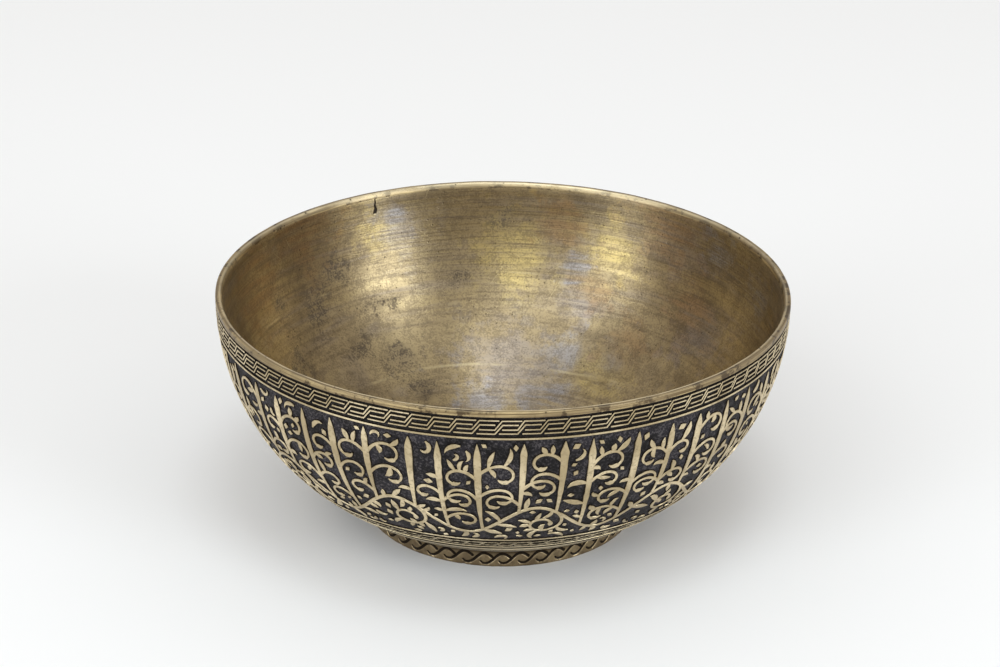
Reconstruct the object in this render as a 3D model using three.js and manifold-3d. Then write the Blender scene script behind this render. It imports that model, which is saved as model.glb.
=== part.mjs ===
import * as THREE from "three";
import { mergeVertices } from "three/addons/utils/BufferGeometryUtils.js";
import Module from "manifold-3d";

const wasm = await Module();
wasm.setup();

// Driving dimensions, in millimetres and degrees

const facets = 48;

const rimRadius = 80;
const bowlHeight = 68;
const arcCentreRadius = 14.5;
const arcCentreDepth = 1.55;
const wallThickness = 2;

const lipFlat = 1.4;
const lipBevelHeight = 0.8;

const undersideHeight = 2.8;
const floorHeight = 4.8;
const floorFillet = 30;

const recessDepth = 0.7;
const fillThickness = 0.25;
const upperBorder = { from: 0, to: 5.15, steps: 1 };
const mainBand = { from: 5.75, to: 43.5, steps: 5 };
const lowerBorder = { from: 44.2, to: 50, steps: 1 };

const footRadius = 38.6;
const footThickness = 2.6;
const footBevel = 0.3;
const seamGap = 0.3;
const seamLeg = 0.7;

// Raised ornament of the wide band: a wave of stems, and upright blades that stand on it.
// The wave is broken once in each repeat, so that the black fill stays one piece.

const waves = 12;
const waveDepth = 31;
const waveSwing = 6.6;
const waveHalfWidth = 0.58;
const waveDrift = { swing: 0.3, times: 3, shift: 0.4 };
const waveFrom = -0.6;
const waveTo = 0.35;
const waveSteps = 7;

const blades = 48;
const bladeTipGap = 0.8;
const unevenTip = { amount: 0.3, step: 5.1 };
const unevenPlace = { amount: 0.09, step: 2.4 };
const unevenLean = { amount: 0.08, step: 1.7, shift: 1 };
const bladeBend = { root: -2.2, tip: 0.6 };
const bladeRootHalf = 0.45;
const bladeHalf = 1;
const wideBladeHalf = 1.15;
const bladeTipHalf = 0.12;
const bladeSwell = 0.84;

const ornamentGap = 0.3;
const cutMargin = 1;
const strokeFoot = -recessDepth - cutMargin;
const strokeTop = 2 * cutMargin;

const brassColour = 0xa88c55;
const footColour = 0x8a7348;
const seamColour = 0x6f5f42;
const fillColour = 0x1d1b1e;

const brass = { color: brassColour, metalness: 1, roughness: 0.38 };
const footBrass = { color: footColour, metalness: 1, roughness: 0.45 };
const seamBrass = { color: seamColour, metalness: 1, roughness: 0.6 };
const blackFill = { color: fillColour, metalness: 0, roughness: 0.7 };

// The outer wall is one circular arc; its centre lies off the axis and just below the rim

const arcCentreHeight = bowlHeight - arcCentreDepth;
const arcRadius = rimRadius - arcCentreRadius;
const innerRadius = arcRadius - wallThickness;

function onArc(radius, degrees) {
  const angle = THREE.MathUtils.degToRad(degrees);
  return [
    arcCentreRadius + radius * Math.cos(angle),
    arcCentreHeight - radius * Math.sin(angle),
  ];
}

function arcPoints(radius, from, to, steps) {
  const points = [];
  for (let i = 0; i <= steps; i += 1) {
    points.push(onArc(radius, from + ((to - from) * i) / steps));
  }
  return points;
}

function arcDegreesAtHeight(radius, height) {
  return THREE.MathUtils.radToDeg(Math.asin((arcCentreHeight - height) / radius));
}

function arcDegreesAtRadius(radius, distance) {
  return THREE.MathUtils.radToDeg(Math.acos((distance - arcCentreRadius) / radius));
}

// A disc or ring turned about the Z axis from a profile of [radius, height] pairs.
// A ring's profile closes on itself, and a disc's starts and ends on the axis.

function turned(profile) {
  const onAxis = profile[0][0] === 0;
  const loop = onAxis ? profile : [...profile, profile[0]];
  const points = loop.map(([radius, height]) => new THREE.Vector2(radius, height));
  const geometry = new THREE.LatheGeometry(points, facets);
  geometry.rotateX(Math.PI / 2);
  return geometry;
}

// Joining and cutting: a geometry becomes a solid, and a solid becomes a geometry again

function solidFrom(positions, index) {
  return new wasm.Manifold(new wasm.Mesh({
    numProp: 3,
    vertProperties: new Float32Array(positions),
    triVerts: new Uint32Array(index),
  }));
}

function solidOf(geometry) {
  const bare = geometry.clone();
  bare.deleteAttribute("normal");
  bare.deleteAttribute("uv");
  const merged = mergeVertices(bare);
  const corners = merged.index.array;
  const kept = [];
  for (let i = 0; i < corners.length; i += 3) {
    const [a, b, c] = corners.slice(i, i + 3);
    if (a !== b && b !== c && c !== a) {
      kept.push(a, b, c);
    }
  }
  return solidFrom(merged.attributes.position.array, kept);
}

function geometryOf(solid) {
  const mesh = solid.getMesh();
  const geometry = new THREE.BufferGeometry();
  geometry.setAttribute("position", new THREE.BufferAttribute(mesh.vertProperties, 3));
  geometry.setIndex(new THREE.BufferAttribute(mesh.triVerts, 1));
  geometry.computeVertexNormals();
  return geometry;
}

// The wall as a map: turn is the angle round the axis from the front, down the distance along the arc

function wallRadius(down) {
  return arcCentreRadius + arcRadius * Math.cos(down / arcRadius);
}

function onWall(turn, down, lift) {
  const reach = arcCentreRadius + (arcRadius + lift) * Math.cos(down / arcRadius);
  const height = arcCentreHeight - (arcRadius + lift) * Math.sin(down / arcRadius);
  return [reach * Math.sin(turn), -reach * Math.cos(turn), height];
}

function downTo(degrees) {
  return THREE.MathUtils.degToRad(degrees) * arcRadius;
}

const bandTop = downTo(mainBand.from);

function waveDown(turn) {
  const drift = waveDrift.swing * Math.sin(waveDrift.times * turn + waveDrift.shift);
  return bandTop + waveDepth - waveSwing * Math.sin(turn * waves) + drift;
}

// A stroke's stations are places on the wall with a half width. All its corners go in and out
// along one direction, square to the wall at its middle, so that its sides are flat. It reaches
// from below the recess to above the wall, where the recess then cuts it.

function strokeSolid(stations, growth) {
  const last = stations.length - 1;
  const centre = stations[Math.round(last / 2)];
  const foot = new THREE.Vector3(...onWall(centre.turn, centre.down, 0));
  const outward = new THREE.Vector3(...onWall(centre.turn, centre.down, 1)).sub(foot);
  const positions = [];
  stations.forEach(({ turn, down, half }, i) => {
    const before = stations[Math.max(i - 1, 0)];
    const after = stations[Math.min(i + 1, last)];
    const radius = wallRadius(down);
    const along = new THREE.Vector2((after.turn - before.turn) * radius, after.down - before.down);
    along.normalize();
    const push = i === 0 ? -growth : i === last ? growth : 0;
    for (const [side, lift] of [[-1, strokeFoot], [-1, strokeTop], [1, strokeTop], [1, strokeFoot]]) {
      const across = side * (half + growth);
      const aside = turn + (along.x * push - along.y * across) / radius;
      const place = onWall(aside, down + along.y * push + along.x * across, 0);
      positions.push(...new THREE.Vector3(...place).addScaledVector(outward, lift));
    }
  });
  const index = [];
  for (let i = 0; i < last; i += 1) {
    for (let j = 0; j < 4; j += 1) {
      const a = 4 * i + j;
      const b = 4 * i + ((j + 1) % 4);
      index.push(a, b, b + 4, a, b + 4, a + 4);
    }
  }
  index.push(0, 2, 1, 0, 3, 2);
  index.push(4 * last, 4 * last + 1, 4 * last + 2, 4 * last, 4 * last + 2, 4 * last + 3);
  return solidFrom(positions, index);
}

// One wave of the stem, from just past a crest to just short of the next break

function waveStations(unit) {
  const stations = [];
  for (let i = 0; i <= waveSteps; i += 1) {
    const phase = waveFrom + ((waveTo - waveFrom) * i) / waveSteps;
    const turn = ((unit + phase) * 2 * Math.PI) / waves;
    stations.push({ turn, down: waveDown(turn), half: waveHalfWidth });
  }
  return stations;
}

// A blade leans at its root and bends back: its curvature runs evenly from root to tip, so
// its way to the side is a cubic of the way along it

function bladeStations(k) {
  const place = k + 0.5 + unevenPlace.amount * Math.sin(unevenPlace.step * k);
  const turn = (place * 2 * Math.PI) / blades;
  const root = waveDown(turn);
  const tipGap = bladeTipGap + unevenTip.amount * (1 + Math.sin(unevenTip.step * k));
  const length = root - bandTop - tipGap;
  const lean = unevenLean.amount * Math.sin(unevenLean.step * k + unevenLean.shift);
  const widest = k % 2 === 0 ? bladeHalf : wideBladeHalf;
  const { root: bend, tip: tipBend } = bladeBend;
  return [[0, bladeRootHalf], [bladeSwell, widest], [1, bladeTipHalf]].map(([t, half]) => {
    const down = root - t * length;
    const aside = lean * length * (t + (bend * t ** 2) / 2 + ((tipBend - bend) * t ** 3) / 6);
    return { turn: turn + aside / wallRadius(down), down, half };
  });
}

// All the raised ornament, each stroke wider and longer at both ends by the growth

function ornament(growth) {
  const strokes = [];
  for (let unit = 0; unit < waves; unit += 1) {
    strokes.push(strokeSolid(waveStations(unit), growth));
  }
  for (let k = 0; k < blades; k += 1) {
    strokes.push(strokeSolid(bladeStations(k), growth));
  }
  return strokes.reduce((whole, stroke) => whole.add(stroke));
}

// Bowl body: underside, outer wall with its border recesses, lip, inner wall, floor

function recess(band) {
  return [
    onArc(arcRadius, band.from),
    ...arcPoints(arcRadius - recessDepth, band.from, band.to, band.steps),
    onArc(arcRadius, band.to),
  ];
}

const footInner = footRadius - footThickness;
const undersideDegrees = arcDegreesAtHeight(arcRadius, undersideHeight);
const seamOuterDegrees = arcDegreesAtRadius(arcRadius, footRadius + seamLeg);
const seamInnerDegrees = arcDegreesAtRadius(arcRadius, footInner - seamLeg);
const plainWall = [
  onArc(arcRadius, undersideDegrees),
  onArc(arcRadius, seamInnerDegrees),
  ...arcPoints(arcRadius, seamOuterDegrees, lowerBorder.to, 3).slice(0, -1),
];

const lipOuter = [rimRadius, bowlHeight];
const lipInner = [rimRadius - lipFlat, bowlHeight];
const lipBevelFoot = [arcCentreRadius + innerRadius, bowlHeight - lipBevelHeight];

const filletCentreHeight = floorHeight + floorFillet;
const filletReach = Math.sqrt(
  (innerRadius - floorFillet) ** 2 - (arcCentreHeight - filletCentreHeight) ** 2,
);
const filletCentreRadius = arcCentreRadius + filletReach;
const tangentDegrees = THREE.MathUtils.radToDeg(
  Math.atan2(arcCentreHeight - filletCentreHeight, filletReach),
);

const floorCorner = [1, 2, 3].map((i) => {
  const degrees = tangentDegrees + ((90 - tangentDegrees) * i) / 3;
  const angle = THREE.MathUtils.degToRad(degrees);
  return [
    filletCentreRadius + floorFillet * Math.cos(angle),
    filletCentreHeight - floorFillet * Math.sin(angle),
  ];
});

const bowlProfile = [
  [0, undersideHeight],
  ...plainWall,
  ...recess(lowerBorder).reverse(),
  ...arcPoints(arcRadius, mainBand.from, mainBand.to, mainBand.steps).reverse(),
  ...recess(upperBorder).reverse(),
  lipOuter,
  lipInner,
  lipBevelFoot,
  ...arcPoints(innerRadius, 0, tangentDegrees, 9),
  ...floorCorner,
  [0, floorHeight],
];

// The wide band's recess is cut round the raised ornament, which stays part of the body

const mainPocket = [
  ...arcPoints(arcRadius - recessDepth, mainBand.from, mainBand.to, mainBand.steps),
  ...arcPoints(arcRadius + cutMargin, mainBand.from, mainBand.to, mainBand.steps).reverse(),
];
const bowlSolid = solidOf(turned(bowlProfile)).subtract(
  solidOf(turned(mainPocket)).subtract(ornament(0)),
);

// Black composition lying on the floor of each recess, clear of the ornament in the wide band

function fillProfile(band) {
  const bottom = arcRadius - recessDepth;
  const top = bottom + fillThickness;
  return [
    ...arcPoints(bottom, band.from, band.to, band.steps),
    ...arcPoints(top, band.from, band.to, band.steps).reverse(),
  ];
}

const mainFillSolid = solidOf(turned(fillProfile(mainBand))).subtract(ornament(ornamentGap));

// Foot ring: a plain hoop whose top is cut to the curve of the bowl

const footTopRadius = arcRadius + seamGap;
const footTopOuter = onArc(footTopRadius, arcDegreesAtRadius(footTopRadius, footRadius));
const footTopInner = onArc(footTopRadius, arcDegreesAtRadius(footTopRadius, footInner));

const footProfile = [
  [footInner + footBevel, 0],
  [footRadius - footBevel, 0],
  [footRadius, footBevel],
  footTopOuter,
  footTopInner,
  [footInner, footBevel],
];

// Solder seam: a thin layer between foot and bowl, with a small bevel outside and inside

const seamProfile = [
  footTopInner,
  footTopOuter,
  onArc(arcRadius, seamOuterDegrees),
  onArc(arcRadius, seamInnerDegrees),
];

const group = new THREE.Group();

function add(name, geometry, look) {
  const mesh = new THREE.Mesh(geometry, new THREE.MeshStandardMaterial(look));
  mesh.name = name;
  group.add(mesh);
}

add("bowl_body", geometryOf(bowlSolid), brass);
add("foot_ring", turned(footProfile), footBrass);
add("solder_seam", turned(seamProfile), seamBrass);
add("upper_border_fill", turned(fillProfile(upperBorder)), blackFill);
add("main_band_fill", geometryOf(mainFillSolid), blackFill);
add("lower_border_fill", turned(fillProfile(lowerBorder)), blackFill);

export default group;
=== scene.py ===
import math

import bmesh
import bpy
import numpy as np
from mathutils import Matrix, Vector


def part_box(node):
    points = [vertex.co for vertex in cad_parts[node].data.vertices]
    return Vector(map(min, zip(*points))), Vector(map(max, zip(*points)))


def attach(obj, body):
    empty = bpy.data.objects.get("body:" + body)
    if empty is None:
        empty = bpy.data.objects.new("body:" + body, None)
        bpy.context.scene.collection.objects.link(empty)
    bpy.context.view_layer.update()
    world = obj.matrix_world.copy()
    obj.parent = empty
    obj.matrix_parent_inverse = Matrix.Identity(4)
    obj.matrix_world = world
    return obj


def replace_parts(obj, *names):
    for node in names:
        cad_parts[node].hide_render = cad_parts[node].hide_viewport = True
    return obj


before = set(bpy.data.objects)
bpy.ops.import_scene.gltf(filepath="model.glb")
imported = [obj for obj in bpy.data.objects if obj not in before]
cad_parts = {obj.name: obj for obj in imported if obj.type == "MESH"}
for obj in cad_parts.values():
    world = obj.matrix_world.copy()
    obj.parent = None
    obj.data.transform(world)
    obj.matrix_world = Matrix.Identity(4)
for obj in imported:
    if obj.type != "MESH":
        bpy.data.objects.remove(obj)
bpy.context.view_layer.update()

# The bowl's main sizes, in metres, read from the frame

MM = 0.001
TURN = 2 * math.pi
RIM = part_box("bowl_body")[1].x
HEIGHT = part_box("bowl_body")[1].z
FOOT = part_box("foot_ring")[1].x

# The outer wall's section is one arc; its centre is off the axis and a little below the rim

ARC_OUT = 14.5 * MM
ARC_UP = HEIGHT - 1.55 * MM
ARC = RIM - ARC_OUT
WALL_THICK = 2.0 * MM
INNER = ARC - WALL_THICK

LIP_FLAT = 1.4 * MM
UNDERSIDE = 2.8 * MM
FLOOR = 4.8 * MM
FLOOR_FILLET = 30 * MM
FOOT_INNER = FOOT - 2.6 * MM
SEAM_GAP = 0.3 * MM
SEAM_LEG = 0.7 * MM

# Places on the wall


def down_to(degrees):
    """Distance down the wall to an angle below the arc's level top."""
    return math.radians(degrees) * ARC


def section(s, lift=0.0):
    """Distance from the axis and height, s down the wall: cosine and sine of a circle, lifted out by lift."""
    return ARC_OUT + (ARC + lift) * np.cos(s / ARC), ARC_UP - (ARC + lift) * np.sin(s / ARC)


def under_wall(reach, lift):
    """Height under the bowl at a distance from the axis: the lower side of the circle, lifted out by lift."""
    return ARC_UP - math.sqrt((ARC + lift) ** 2 - (reach - ARC_OUT) ** 2)


def around_axis(phi, reach, height):
    """Points at an angle phi from the front: reach times sine to the right, times cosine to the front."""
    return np.stack(np.broadcast_arrays(reach * np.sin(phi), -reach * np.cos(phi), height), axis=-1)


def wall(phi, s, lift=0.0):
    """Points of the outer wall: phi round the axis from the front, s down the wall, lift out of it."""
    reach, height = section(s, lift)
    return around_axis(phi, reach, height)


def wander(phi, seed, waves):
    """Smooth unevenness round the axis, about -1 to 1: a sum of whole waves with seeded phases."""
    rng = np.random.default_rng(seed)
    total = np.zeros(np.shape(phi))
    for wave in waves:
        total = total + rng.uniform(0.5, 1.0) * np.sin(wave * phi + rng.uniform(0, TURN))
    return total / len(waves) * 1.6


# The bands, as distances down the wall from the arc's top, how deep they are cut and how deep the black lies

UPPER = (down_to(0.0), down_to(5.15))
BAND = (down_to(5.75), down_to(43.5))
LOWER = (down_to(44.2), down_to(50.0))
RECESS = 0.70 * MM
GROUND = 0.45 * MM

# Meshes from whole arrays


def spun(profile, cols):
    """A profile of radius and height carried round the axis: the angles, and radii and heights at each."""
    phi = np.linspace(0, TURN, cols, endpoint=False)
    reach, up = (np.repeat(column[:, None], cols, axis=1) for column in profile.T)
    return phi, reach, up


def grid_faces(rows, cols, wrap_rows=False, first=0):
    """Quads of a grid whose corners are numbered row by row, and whose rows close on themselves."""
    i = np.arange(rows if wrap_rows else rows - 1)[:, None]
    i, j = np.broadcast_arrays(i, np.arange(cols)[None, :])
    up, on = (i + 1) % rows, (j + 1) % cols
    corners = [i * cols + j, i * cols + on, up * cols + on, up * cols + j]
    return (np.stack(corners, axis=-1).reshape(-1, 4) + first).tolist()


def make_piece(name, points, faces, looks, sharp, face_looks=None, values=None, weld=False):
    """A piece of the object from its corners and faces, with its finishes and its values on the corners.

    Edges that bend by more than sharp degrees stay hard.
    """
    mesh = bpy.data.meshes.new(name)
    mesh.from_pydata(np.reshape(points, (-1, 3)).tolist(), [], faces)
    for key, value in (values or {}).items():
        layer = mesh.attributes.new(key, "FLOAT", "POINT")
        layer.data.foreach_set("value", np.ascontiguousarray(value, np.float32).ravel())
    for look in looks:
        mesh.materials.append(look)
    if face_looks is not None:
        mesh.polygons.foreach_set("material_index", np.ascontiguousarray(face_looks, np.int32))
    if weld:
        work = bmesh.new()
        work.from_mesh(mesh)
        bmesh.ops.remove_doubles(work, verts=work.verts, dist=1e-6)
        work.to_mesh(mesh)
        work.free()
    mesh.validate()
    mesh.shade_smooth()
    mesh.set_sharp_from_angle(angle=math.radians(sharp))
    made = bpy.data.objects.new(name, mesh)
    bpy.context.scene.collection.objects.link(made)
    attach(made, "root")
    return made


# Shader building


class Nodes:
    """A node tree that is built from left to right: each call adds a node and links its inputs."""

    def __init__(self, tree):
        self.tree = tree

    def feed(self, node, inputs):
        """Each input gets a link where it is given a socket, and its own value otherwise."""
        for key, value in inputs.items():
            if isinstance(value, bpy.types.NodeSocket):
                self.tree.links.new(value, node.inputs[key])
            else:
                node.inputs[key].default_value = value

    def add(self, kind, inputs=None, **settings):
        made = self.tree.nodes.new(kind)
        for key, value in settings.items():
            setattr(made, key, value)
        self.feed(made, inputs or {})
        return made

    def math(self, operation, a, b=0.0, clamp=False):
        made = self.add("ShaderNodeMath", {0: a, 1: b}, operation=operation, use_clamp=clamp)
        return made.outputs[0]

    def plus(self, a, b):
        return self.math("ADD", a, b)

    def less(self, a, b, clamp=False):
        return self.math("SUBTRACT", a, b, clamp)

    def times(self, a, b, clamp=False):
        return self.math("MULTIPLY", a, b, clamp)

    def most(self, a, b):
        return self.math("MAXIMUM", a, b)

    def mix(self, amount, a, b):
        return self.add("ShaderNodeMix", {0: amount, 6: a, 7: b}, data_type="RGBA").outputs[2]

    def coats(self, base, *layers):
        """Colours laid over a base in turn, each given as how much it covers and the colour."""
        for amount, colour in layers:
            base = self.mix(amount, base, colour)
        return base

    def ramp(self, value, low, high, out_low=0.0, out_high=1.0):
        """Smooth step of a value from low to high, given out between out_low and out_high."""
        places = {"Value": value, 1: low, 2: high, 3: out_low, 4: out_high}
        return self.add("ShaderNodeMapRange", places, interpolation_type="SMOOTHSTEP").outputs[0]

    def noise(self, where, scale, detail, rough=0.5, warp=0.0):
        places = {"Vector": where, "Scale": scale, "Detail": detail, "Roughness": rough, "Distortion": warp}
        return self.add("ShaderNodeTexNoise", places).outputs[0]

    def attribute(self, name):
        return self.add("ShaderNodeAttribute", attribute_name=name).outputs["Fac"]

    def place(self):
        return self.add("ShaderNodeTexCoord").outputs["Object"]

    def apart(self, vector):
        return self.add("ShaderNodeSeparateXYZ", {0: vector}).outputs

    def join(self, x, y, z):
        return self.add("ShaderNodeCombineXYZ", {0: x, 1: y, 2: z}).outputs[0]

    def bump(self, height, strength, distance):
        places = {"Height": height, "Strength": strength, "Distance": distance}
        return self.add("ShaderNodeBump", places).outputs[0]

    def group(self, tree, **inputs):
        return self.add("ShaderNodeGroup", inputs, node_tree=tree).outputs


def new_group(name, inputs, outputs):
    """An empty shader node group with named sockets; returns it with its builder and its two ends."""
    tree = bpy.data.node_groups.new(name, "ShaderNodeTree")
    for key, (kind, default) in inputs.items():
        socket = tree.interface.new_socket(key, in_out="INPUT", socket_type=kind)
        if default is not None:
            socket.default_value = default
    for key in outputs:
        tree.interface.new_socket(key, in_out="OUTPUT", socket_type=FLOAT)
    start = tree.nodes.new("NodeGroupInput")
    end = tree.nodes.new("NodeGroupOutput")
    return tree, Nodes(tree), start.outputs, end


def new_look(name):
    """A material with a Principled shader: returns it, the builder of its nodes and the shader."""
    look = bpy.data.materials.new(name)
    look.use_nodes = True
    return look, Nodes(look.node_tree), look.node_tree.nodes["Principled BSDF"]


FLOAT = "NodeSocketFloat"
VECTOR = "NodeSocketVector"

# Patterns that several finishes share


def turned_lines():
    """Fine rings and broken strokes left by turning and rubbing, round the axis.

    Polar coordinates stretch a noise along the circles: the angle is slow and the height and radius fast.
    """
    sockets = {"Place": (VECTOR, None), "Fineness": (FLOAT, 1.0)}
    tree, n, start, end = new_group("turned_lines", sockets, ("Lines", "Streaks"))
    x, y, z = n.apart(start["Place"])
    reach = n.math("SQRT", n.plus(n.times(x, x), n.times(y, y)))
    angle = n.math("ARCTAN2", y, x)
    cos, sin = n.math("COSINE", angle), n.math("SINE", angle)
    slope = n.less(reach, z)
    fast = n.times(slope, n.times(start["Fineness"], 1500.0))
    slow = n.times(slope, 520.0)
    fine = n.noise(n.join(n.times(cos, 3.0), n.times(sin, 3.0), fast), 1.0, 4.0, 0.6)
    broad = n.noise(n.join(n.times(cos, 2.2), n.times(sin, 2.2), slow), 1.0, 5.0, 0.62, 0.6)
    n.feed(end, {"Lines": fine, "Streaks": broad})
    return tree


def scratches():
    """Short thin scratches in two directions: the peaks of a noise squeezed thirty to one."""
    sockets = {"Place": (VECTOR, None), "Scale": (FLOAT, 60.0)}
    tree, n, start, end = new_group("scratches", sockets, ("Marks",))
    marks = []
    for turn in (0.5, 2.1):
        squeeze = {0: start["Place"], "Rotation": (turn, turn * 0.7, turn * 1.3), "Scale": (1.0, 0.03, 1.0)}
        long = n.add("ShaderNodeMapping", squeeze, vector_type="TEXTURE").outputs[0]
        marks.append(n.ramp(n.noise(long, start["Scale"], 2.0), 0.69, 0.78))
    n.feed(end, {"Marks": n.most(*marks)})
    return tree


def pits():
    """Small dark pits, thick in some places and rare in others.

    Space is cut into uneven cells, and each draws by chance whether it has a pit and how large.
    """
    sockets = {"Place": (VECTOR, None), "Scale": (FLOAT, 500.0), "Share": (FLOAT, 0.5)}
    tree, n, start, end = new_group("pits", sockets, ("Specks",))
    places = {"Vector": start["Place"], "Scale": start["Scale"], "Randomness": 1.0}
    cell = n.add("ShaderNodeTexVoronoi", places).outputs
    chance, size, _ = n.apart(cell["Color"])
    spots = n.ramp(cell["Distance"], 0.04, n.plus(0.10, n.times(size, 0.16)), 1.0, 0.0)
    crowd = n.noise(start["Place"], 38.0, 3.0)
    lot = n.plus(chance, n.times(crowd, 1.2))
    chosen = n.ramp(lot, start["Share"], n.plus(start["Share"], 0.05))
    n.feed(end, {"Specks": n.times(spots, chosen)})
    return tree


def stains_and_reflections(name, spots):
    """Soft spots at fixed places of the inside, stains and painted reflections among them, each (x, y, z,
    radius) in mm, with edges broken by a noise.

    A spot is a smooth step of the distance to its middle, which the noise makes shorter or longer.
    """
    tree, n, start, end = new_group(name, {"Place": (VECTOR, None)}, ("Mask",))
    rag = n.ramp(n.noise(start["Place"], 130.0, 6.0, 0.7), 0.3, 0.7, 2.2, 0.5)
    mask = 0.0
    for x, y, z, reach in spots:
        ends = {0: start["Place"], 1: (x * MM, y * MM, z * MM)}
        away = n.add("ShaderNodeVectorMath", ends, operation="DISTANCE").outputs["Value"]
        mask = n.most(mask, n.ramp(n.times(away, rag), 0.25 * reach * MM, reach * MM, 1.0, 0.0))
    n.feed(end, {"Mask": mask})
    return tree


TURNED = turned_lines()
SCRATCHED = scratches()
PITTED = pits()
DARK_STAINS = stains_and_reflections("dark_stains", (
    (-50, 56, 48, 10), (-55, 46, 38.5, 10), (-51, 50, 43, 7), (-43, 47, 25, 8), (-59, 29, 29, 11),
    (-31, 51, 23, 10), (-24, 45, 13, 9), (-38, 60, 34, 6), (-13, 71, 40, 6), (0, 76, 57, 7), (-65, 35, 46, 7),
))
CHIPS = stains_and_reflections("chips", ((-17.2, 74.2, 45.5, 2.0), (-70.5, 30.5, 66.3, 1.4)))
# Grey bloom on the inside, with painted bluish reflections
GREY_BLOOM_AND_REFLECTION = stains_and_reflections("grey_bloom_and_reflection", (
    (-33, 70, 57, 16), (52, 56, 60, 20), (2, 55, 16, 26), (60, 40, 35, 18), (24, 66, 33, 12),
))
# Painted bluish reflections on the inside
PAINTED_BLUE_REFLECTION = stains_and_reflections("painted_blue_reflection", (
    (-4, 45, 11, 15), (13, 46, 12, 18), (21, 55, 21, 14), (33, 49, 21, 13), (63, 44, 59, 12),
    (74, 20, 56, 11), (-33, 70, 60, 9), (22, 70, 43, 9),
))
COPPER_TONE = stains_and_reflections("copper_tone", (
    (37, 51, 27, 15), (28, 66, 39, 11), (50, 60, 62, 22), (-60, 50, 65, 22), (-72, 28, 55, 24),
    (17, 75, 56, 15), (58, 48, 40, 20),
))
YELLOW_RUB = stains_and_reflections("yellow_rub", ((5, 74, 46, 22), (34, 68, 50, 17), (-37, 67, 56, 15), (30, 48, 17, 16)))

# Colours of the finishes, as linear red, green and blue with an opacity of 1

RELIEF_DULL = (0.47, 0.375, 0.220, 1)
RELIEF_PALE = (0.77, 0.65, 0.435, 1)
RELIEF_GRAIN = (0.38, 0.30, 0.18, 1)
RELIEF_PIT = (0.05, 0.04, 0.03, 1)
FLANK_BLACK = (0.009, 0.0055, 0.003, 1)

LIP_BROWN = (0.19, 0.135, 0.070, 1)
LIP_BRASS = (0.56, 0.435, 0.23, 1)
LIP_DULL = (0.23, 0.17, 0.095, 1)
LIP_STREAK = (0.17, 0.122, 0.075, 1)
LIP_BLOT = (0.075, 0.052, 0.032, 1)
# Rubbed brass with a painted highlight, on the lip's arrises
LIP_RUBBED_AND_HIGHLIGHT = (0.92, 0.80, 0.54, 1)
LIP_PIT = (0.05, 0.035, 0.025, 1)
# Grime and painted shade on the plain strip over the foot
STRIP_GRIME_AND_SHADE = (0.034, 0.024, 0.016, 1)

PATINA_BROWN = (0.245, 0.188, 0.112, 1)
PATINA_OLIVE = (0.42, 0.33, 0.19, 1)
PATINA_WARM = (0.53, 0.415, 0.235, 1)
STREAK_GOLD = (0.52, 0.41, 0.215, 1)
STREAK_GREY = (0.35, 0.30, 0.26, 1)
RUB_YELLOW = (0.63, 0.49, 0.20, 1)
# Colour of the grey bloom and painted bluish reflections
BLOOM_AND_REFLECTION_GREY = (0.345, 0.315, 0.32, 1)
TONE_COPPER = (0.42, 0.27, 0.13, 1)
# Colour of the painted bluish reflections
REFLECTION_BLUE_PAINTED = (0.36, 0.35, 0.365, 1)
LINE_BROWN = (0.17, 0.13, 0.085, 1)
MOTTLE_BROWN = (0.13, 0.10, 0.07, 1)
STAIN_BROWN = (0.085, 0.065, 0.050, 1)
HOLE_BROWN = (0.030, 0.024, 0.020, 1)
MARK_BRIGHT = (0.72, 0.60, 0.35, 1)

BAND_COLOURS = (0.0045, 0.0037, 0.0038, 1), (0.0175, 0.015, 0.019, 1)
BORDER_COLOURS = (0.003, 0.0023, 0.0017, 1), (0.009, 0.007, 0.006, 1)
FLECK_GREY = (0.108, 0.097, 0.097, 1)

FOOT_DULL = (0.18, 0.13, 0.075, 1)
FOOT_BRASS = (0.38, 0.29, 0.165, 1)
FOOT_GRAIN = (0.16, 0.12, 0.075, 1)
# Grime and painted shade at the top of the foot, under the bowl
FOOT_GRIME_AND_SHADE = (0.055, 0.038, 0.025, 1)
CUT_BLACK = (0.012, 0.007, 0.003, 1)
SOLDER_DARK = (0.04, 0.032, 0.025, 1)
SOLDER_GREY = (0.18, 0.15, 0.10, 1)

# Finishes


def look_relief():
    """Worn brass of the raised ornament, black on the flanks where the composition stays."""
    look, n, shader = new_look("relief_brass")
    place = n.place()
    cloud = n.noise(place, 70.0, 4.0, 0.55)
    fine = n.noise(place, 900.0, 3.0, 0.6)
    specks = n.group(PITTED, Place=place, Scale=800.0, Share=1.05)["Specks"]
    marks = n.group(SCRATCHED, Place=place, Scale=160.0)["Marks"]
    ragged = n.plus(n.attribute("rise"), n.times(n.less(fine, 0.5), 0.5))
    bare = n.ramp(ragged, 0.72, 0.92)
    brass = n.coats(
        n.mix(n.ramp(cloud, 0.35, 0.68), RELIEF_DULL, RELIEF_PALE),
        (n.ramp(fine, 0.48, 0.68, 0.0, 0.7), RELIEF_GRAIN),
        (n.times(specks, 0.7), RELIEF_PIT),
    )
    rough = n.plus(n.ramp(cloud, 0.3, 0.7, 0.36, 0.48), n.times(marks, 0.15))
    height = n.less(n.times(fine, 0.6), n.times(marks, 0.5))
    n.feed(shader, {
        "Base Color": n.mix(bare, FLANK_BLACK, brass),
        "Metallic": bare,
        "Roughness": n.ramp(bare, 0.0, 1.0, 0.62, rough),
        "Specular IOR Level": 0.08,
        "Normal": n.bump(height, 0.5, 0.00006),
    })
    return look


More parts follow.
